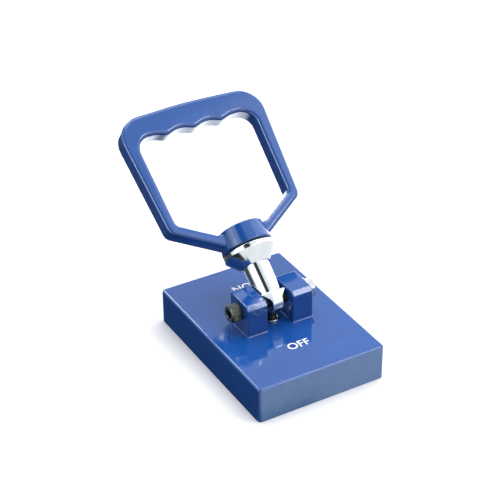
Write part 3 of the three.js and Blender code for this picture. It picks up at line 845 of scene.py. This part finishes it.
plungerForm = {
    "radius": 3.4, "low": 0.6, "high": 34.6, "collar": 5.4, "collarLow": 16.2, "collarHigh": 18.7,
    "bushBore": 3.7, "bushBody": 4.9, "flange": 5.6, "flangeLift": 0.3, "flangeTop": 28.5,
}
springForm = {"radius": 4.6, "wire": 0.5, "low": 4.8, "high": 15.4, "turns": 5.0, "anchor": 4.3, "keep": 0.741}
overPlunger = Matrix.Translation((pivotPoint.x, pivotPoint.y, 0))


def makePlunger(form, spring):
    radius, low, high = form["radius"], form["low"], form["high"]
    collar, collarLow, collarHigh = form["collar"], form["collarLow"], form["collarHigh"]
    pin = roundTurned("releasePlunger", [
        (0, low), (radius, low, 0.5), (radius, collarLow), (collar, collarLow, 0.3), (collar, collarHigh, 0.3),
        (radius, collarHigh), (radius, high, 0.9), (0, high)], 5, 48)
    settle(pin, "release_plunger", "blackOxide", ["plunger"], overPlunger)
    bore, body, flange, top = (form[key] for key in ("bushBore", "bushBody", "flange", "flangeTop"))
    seat = blockHigh.z + form["flangeLift"]
    bush = roundTurned("plungerBush", [
        (bore, roofUnder), (body, roofUnder), (body, seat), (flange, seat, 0.1), (flange, top, 0.45),
        (bore, top, 0.4)], 5, 64, True)
    settle(bush, "base", "zincPlate", ["plunger_bush"], overPlunger)
    coil = grow("returnSpring", coilTree, {
        "Turns": spring["turns"], "Radius": spring["radius"], "Start": spring["low"],
        "Height": spring["high"] - spring["low"], "Wire": spring["wire"], "Sides": 12, "Steps": 48,
        "Finish": finishes["springSteel"]})
    settle(coil, "base", "springSteel", ["return_spring"], overPlunger)
    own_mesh(coil)


makePlunger(plungerForm, springForm)

# shank, hub and handle, drawn upright and leant over on the bolt

lean = math.radians(52.5)
onHandle = Matrix.Translation(pivotPoint) @ Matrix.Rotation(-lean, 4, "X")
shankForm = {
    "half": 9.6, "camRest": 7.4, "camLift": 3.0, "camSteps": 64, "tongue": 4.2, "shoulderTop": 4.1,
    "shoulderFoot": 3.0, "fillet": 6.0, "corner": 0.9, "topEdge": 0.9, "bulge": 1.4, "bulgeFull": 8.0,
    "shaft": 9.5, "shaftLow": 1.6, "splits": (4.5, 5.0, 6.0, 9.0, 15.0, 21.0), "neck": 27.2, "neckLip": 1.2,
    "flange": 19.2, "flangeLow": 36.8, "flangeTop": 39.8, "spigot": 8.0, "spigotTop": 44.4,
    "bolt": 4.3, "screw": 4.3, "screwEnd": 27.2,
}
beyond = 30  # far enough to run past the shank on either side


def spanAt(outline, height):  # how far an outline reaches each way at one height
    found = []
    for i, here in enumerate(outline):
        last = outline[i - 1]
        if (last.y - height) * (here.y - height) <= 0 and last.y != here.y:
            found.append(last.x + (here.x - last.x) * (height - last.y) / (here.y - last.y))
    return min(found), max(found)


def makeShankFoot(form):
    rate, steps = form["camLift"] / (2 * lean), form["camSteps"]
    half, top, edge = form["half"], form["shoulderTop"], form["topEdge"]
    curve = []
    for i in range(steps + 1):
        angle = lean - 2 * lean * i / steps
        reach, sin, cos = form["camRest"] + rate * (angle + lean), math.sin(angle), math.cos(angle)
        curve.append((-reach * sin - rate * cos, -reach * cos + rate * sin))
    (frontY, frontZ), (backY, backZ) = curve[0], curve[-1]
    run, tongue, foot = math.tan(lean), form["tongue"], form["shoulderFoot"]
    side = [Vector(p) for p in [
        (-half, top + 1), (-half, frontZ + (half + frontY) * run), *curve,
        (half, backZ + (half - backY) * run), (half, top + 1)]]
    drop = foot - half + tongue
    front = roundedOutline([
        (-half, top + 1), (-half, foot), (-tongue, drop, form["fillet"]), (-tongue, -beyond),
        (tongue, -beyond), (tongue, drop, form["fillet"]), (half, foot), (half, top + 1)], 12)
    bottom = min(z for _, z in curve)
    levels = [(0, bottom + 0.004 + (top - edge - bottom) * (1 - math.cos(turn))) for turn in quarterTurns(44)]
    levels += [(edge * (1 - math.cos(turn)), top - edge * (1 - math.sin(turn))) for turn in quarterTurns(6)[1:]]
    rings = []
    for inset, height in levels:
        (left, right), (near, far) = spanAt(front, height), spanAt(side, height)
        corner = min(form["corner"], (far - near) * 0.45, (right - left) * 0.45)
        ring = boxOutline((left + inset, near + inset), (right - inset, far - inset),
                          max(corner - inset * 0.5, 0.05), 5, 9)
        middle, bulge = (near + far) / 2, form["bulge"] * min(1, (far - near) / form["bulgeFull"])
        rings.append([(p.x, p.y + math.copysign(bulge * (p.x / half) ** 2, middle - p.y), height) for p in ring])
    mesh = bmesh.new()
    for loop in addRings(mesh, rings):
        mesh.faces.new(loop)
    return makePiece("shankFoot", mesh)


def makeShank(form):
    shaft, neck, flange, screw = (form[key] for key in ("shaft", "neck", "flange", "screw"))
    flangeTop, spigot, spigotTop = form["flangeTop"], form["spigot"], form["spigotTop"]
    shank = roundTurned("handleShank", [
        (0, form["shaftLow"]), (shaft, form["shaftLow"]), *[(shaft, height) for height in form["splits"]],
        (shaft, neck, 0.15), (shaft + form["neckLip"], neck, 0.35), (flange, form["flangeLow"], 0.7),
        (flange, flangeTop, 0.5), (spigot, flangeTop), (spigot, spigotTop, 0.5), (screw, spigotTop),
        (screw, form["screwEnd"]), (0, form["screwEnd"])], 5, 128)
    bore = cylinder("bore", form["bolt"], -beyond, beyond, 64)
    bore.data.transform(Matrix.Rotation(math.pi / 2, 4, "Y"))
    combine(shank, "UNION", makeShankFoot(form))
    combine(shank, "DIFFERENCE", bore)
    settle(shank, "tilting_handle", "polishedChrome", ["shank"], onHandle)


makeShank(shankForm)

gasketForm = {"bore": 8.3, "radius": 18.2, "low": 40.1, "high": 40.8}


def makeGasket(form):
    bore, radius, low, high = (form[key] for key in ("bore", "radius", "low", "high"))
    ring = roundTurned("hubGasket", [
        (bore, low), (radius, low, 0.25), (radius, high, 0.25), (bore, high)], 4, 128, True)
    settle(ring, "tilting_handle", "blackRubber", ["gasket_ring"], onHandle)


makeGasket(gasketForm)

hubForm = {
    "radius": 19.2, "topRadius": 17.4, "low": 41.1, "high": 56.5, "edge": 1.4, "spigot": 8.3,
    "spigotTop": 44.7, "screw": 4.3, "floorTop": 47.7, "pocket": 7.9,
}
gripForm = {
    "thickness": 14.0, "edge": 2.8, "shoulderHalf": 53.0, "shoulderHeight": 66.6, "shoulderRadius": 7.0,
    "topHalf": 58.7, "topHeight": 159.0, "topRadius": 18.5, "crown": 2.6, "crownRadius": 400.0,
    "legFoot": 14.5, "legRoot": 43.2, "leg": 7.6, "side": 7.7, "sideTop": 11.4, "topBar": 18.8,
    "innerRadius": 6.0, "innerTopRadius": 11.0,
    "hollows": 4, "pitch": 22.1, "hollowDepth": 3.2, "hollowSteps": 16, "crestSoft": 0.26,
}


def gripOutlines(form, hub):
    half, height, foot, root = (form[key] for key in ("shoulderHalf", "shoulderHeight", "legFoot", "legRoot"))
    top, wide, bend, brow = form["topHeight"], form["topHalf"], form["shoulderRadius"], form["topRadius"]
    outer = roundedOutline([
        (-foot, root), (foot, root), (half, height, bend), (wide, top - form["crown"], brow),
        (0, top, form["crownRadius"]), (-wide, top - form["crown"], brow), (-half, height, bend)], 10)
    slope = (height - root) / (half - foot)
    rise = form["leg"] * math.sqrt(1 + slope ** 2)
    floor = hub["high"] - 1
    meet = foot + (floor - rise - root) / slope
    inner, innerTop, roof = half - form["side"], wide - form["sideTop"], top - form["topBar"]
    reach = (form["hollows"] - 1) * form["pitch"] / 2
    steps = (form["hollows"] - 1) * form["hollowSteps"]
    soft = form["crestSoft"]
    hollows = []
    for i in range(steps + 1):
        wave = math.sqrt(math.cos(i * math.pi / form["hollowSteps"]) ** 2 + soft ** 2)
        depth = form["hollowDepth"] * (math.sqrt(1 + soft ** 2) - wave)
        hollows.append((reach - 2 * reach * i / steps, roof - depth))
    innerLeg = root + (inner - foot) * slope + rise
    bend, brow = form["innerRadius"], form["innerTopRadius"]
    opening = roundedOutline([
        (-meet, floor), (meet, floor), (inner, innerLeg, bend), (innerTop, roof, brow), *hollows,
        (-innerTop, roof, brow), (-inner, innerLeg, bend)], 10)
    return outer, opening


def makeHandle(form, hub):
    outer, opening = gripOutlines(form, hub)
    half, edge = form["thickness"] / 2, form["edge"]
    mesh = bmesh.new()
    addPlate(mesh, outer, [opening], -half, half, edge, edge, 6)
    bmesh.ops.transform(mesh, matrix=Matrix.Rotation(math.pi / 2, 4, "X"), verts=mesh.verts)
    grip = makePiece("gripHandle", mesh)
    low, high, edge = hub["low"], hub["high"], hub["edge"]
    boss = roundTurned("hub", [
        (0, low), (hub["radius"], low, edge), (hub["topRadius"], high, edge), (0, high)], 6, 128)
    spigot, spigotTop, screw, floor = (hub[key] for key in ("spigot", "spigotTop", "screw", "floorTop"))
    core = turnedPiece("core", [
        (0, low - 1), (spigot, low - 1), (spigot, spigotTop), (screw, spigotTop), (screw, floor),
        (hub["pocket"], floor), (hub["pocket"], high + 1), (0, high + 1)], 64)
    combine(grip, "UNION", boss)
    combine(grip, "DIFFERENCE", core)
    settle(grip, "tilting_handle", "blueEnamel", ["handle"], onHandle)


makeHandle(gripForm, hubForm)

handleScrewForm = {
    "radius": 4.0, "head": 6.5, "low": 27.5, "seat": 49.5, "top": 54.5, "socket": 5.0, "socketDepth": 3.0,
    "washer": 7.6, "washerBore": 4.3, "washerLow": 48.0, "washerHigh": 49.2,
}


def makeHandleScrew(form):
    radius, head, seat, top = (form[key] for key in ("radius", "head", "seat", "top"))
    screw = roundTurned("handleScrew", [
        (0, form["low"]), (radius, form["low"], 0.6), (radius, seat), (head, seat, 0.2), (head, top, 0.7),
        (0, top)], 5, 64)
    combine(screw, "DIFFERENCE", hexKey(form["socket"], top - form["socketDepth"], top + 1))
    settle(screw, "tilting_handle", "blackOxide", ["handle_screw"], onHandle)
    bore, radius, low, high = (form[key] for key in ("washerBore", "washer", "washerLow", "washerHigh"))
    washer = roundTurned("handleWasher", [
        (bore, low), (radius, low, 0.25), (radius, high, 0.25), (bore, high)], 4, 64, True)
    settle(washer, "tilting_handle", "zincPlate", ["handle_washer"], onHandle)


makeHandleScrew(handleScrewForm)
print("handle made")

# studio

studio = {
    "floor": 3.0, "pale": (0.88, 0.88, 0.88), "bounce": (0.36, 0.36, 0.36), "mirrored": 1.45,
    "mirroredBack": 4.4, "mirrorTint": (0.94, 1.0, 1.03), "shade": 0.04,
    "rightEdge": (-0.03, 0.02), "frontEdge": (-0.09, -0.12), "backEdge": (0.06, 0.09),
    "sky": (1.28, 1.42, 1.52), "dark": 0.04, "band": (-38.0, -10.0), "bandBlur": 0.06,
    "softbox": 0.85, "softboxSide": (0.733, -0.596, -0.597), "softboxEdge": (-0.09, -0.04),
    "softboxFade": (0.9, 0.7), "leftBox": (-84.0, -44.0), "leftBlur": 0.1, "leftBoost": 1.3,
    "level": 0.35, "slope": (0.5, 0.3, 1.35), "least": 0.08,
    "windows": (((-0.03, 0.81, 0.59), 8.0), ((-0.87, -0.03, 0.49), 3.0)), "windowEdge": (0.974, 0.982),
}
lamps = {
    "keyLamp": {"place": (0.9, -0.9, 1.4), "size": 0.5, "power": 6.0},
    "fillLamp": {"place": (0.5, 0.4, 2.0), "size": 1.3, "power": 14.0},
}
lampTarget = Vector((0, 0, 0.05))


def makeFloor(look):
    mesh = bmesh.new()
    corners = [(x * look["floor"], y * look["floor"], 0) for x, y in ((-1, -1), (1, -1), (1, 1), (-1, 1))]
    mesh.faces.new([mesh.verts.new(corner) for corner in corners])
    floor = makePiece("studioFloor", mesh)
    finish, tree, _, here = startFinish("paleFloor", {
        "Base Color": look["pale"], "Roughness": 0.9, "Specular IOR Level": 0.1})
    place, edges = separate(tree, here), (look["shade"], look["mirrored"])
    right = remap(tree, place["X"], *look["rightEdge"], *edges, smooth=True)
    front = remap(tree, place["Y"], *look["frontEdge"], *edges, smooth=True)
    back = remap(
        tree, place["Y"], *look["backEdge"], 1.0, look["mirroredBack"] / look["mirrored"], smooth=True)
    glow = compute(tree, "MAXIMUM", compute(tree, "MULTIPLY", right, back), front)
    light = addNode(tree, "ShaderNodeEmission", {"Color": look["mirrorTint"], "Strength": glow})
    dim = addNode(tree, "ShaderNodeBsdfDiffuse", {"Color": look["bounce"]})
    path = addNode(tree, "ShaderNodeLightPath").outputs
    bounced = addNode(tree, "ShaderNodeMixShader", {
        0: path["Is Diffuse Ray"], 1: tree.nodes["Principled BSDF"].outputs[0], 2: dim.outputs[0]})
    mix = addNode(tree, "ShaderNodeMixShader", {
        0: path["Is Glossy Ray"], 1: bounced.outputs[0], 2: light.outputs[0]})
    tree.links.new(mix.outputs[0], tree.nodes["Material Output"].inputs[0])
    floor.data.materials.append(finish)


def dotProduct(tree, towards, way):
    return addNode(tree, "ShaderNodeVectorMath", {0: towards, 1: way}, operation="DOT_PRODUCT").outputs["Value"]


def awayFrom(tree, angle, edges):  # how far an angle is from the middle of a band, and the band's half width
    low, high = (math.radians(edge) for edge in edges)
    return compute(tree, "ABSOLUTE", compute(tree, "SUBTRACT", angle, (low + high) / 2)), (high - low) / 2


def makeWorld(look):
    world = bpy.data.worlds.new("studioLight")
    world.use_nodes = True
    tree = world.node_tree
    tree.nodes.clear()
    towards = addNode(tree, "ShaderNodeTexCoord").outputs["Generated"]
    across = dotProduct(tree, towards, (1, 0, 0))
    over = dotProduct(tree, towards, (0, -math.cos(lean), math.sin(lean)))
    angle = compute(tree, "ARCTAN2", across, over)
    beside, half = awayFrom(tree, angle, look["band"])
    blur = look["bandBlur"]
    bright = remap(tree, beside, half - blur, half + blur, look["dark"], 1.0, smooth=True)
    side = dotProduct(tree, towards, look["softboxSide"])
    softbox = remap(tree, side, *look["softboxEdge"], 0.0, look["softbox"], smooth=True)
    fade = remap(tree, side, *look["softboxFade"], 0.0, 1.0, smooth=True)
    boost = compute(tree, "MULTIPLY_ADD", softbox, fade, 1.0)
    beside, half = awayFrom(tree, angle, look["leftBox"])
    blur = look["leftBlur"]
    leftBox = remap(tree, beside, half + blur, half - blur, 0.0, look["leftBoost"], smooth=True)
    boost = compute(tree, "ADD", boost, leftBox)
    for way, power in look["windows"]:  # small bright panes that pick out the rounded edges
        pane = remap(tree, dotProduct(tree, towards, way), *look["windowEdge"], 0.0, power, smooth=True)
        boost = compute(tree, "ADD", boost, pane)
    mirrored = addNode(tree, "ShaderNodeBackground", {
        "Color": look["sky"], "Strength": compute(tree, "MULTIPLY", bright, boost)})
    level = compute(tree, "ADD", dotProduct(tree, towards, look["slope"]), look["level"])
    soft = addNode(tree, "ShaderNodeBackground", {
        "Color": (1, 1, 1), "Strength": compute(tree, "MAXIMUM", level, look["least"])})
    mix = addNode(tree, "ShaderNodeMixShader", {
        0: addNode(tree, "ShaderNodeLightPath").outputs["Is Glossy Ray"], 1: soft.outputs[0],
        2: mirrored.outputs[0]})
    out = addNode(tree, "ShaderNodeOutputWorld")
    tree.links.new(mix.outputs[0], out.inputs[0])
    bpy.context.scene.world = world


def makeLamp(name, setup):
    lamp = bpy.data.lights.new(name, "AREA")
    lamp.shape, lamp.size, lamp.energy = "DISK", setup["size"], setup["power"]
    place = Vector(setup["place"])
    facing = (place - lampTarget).to_track_quat("Z", "Y").to_matrix().to_4x4()
    show(bpy.data.objects.new(name, lamp)).matrix_world = Matrix.Translation(place) @ facing


makeFloor(studio)
makeWorld(studio)
for name, setup in lamps.items():
    makeLamp(name, setup)
bpy.context.scene.view_settings.view_transform = "Standard"
print("studio made")
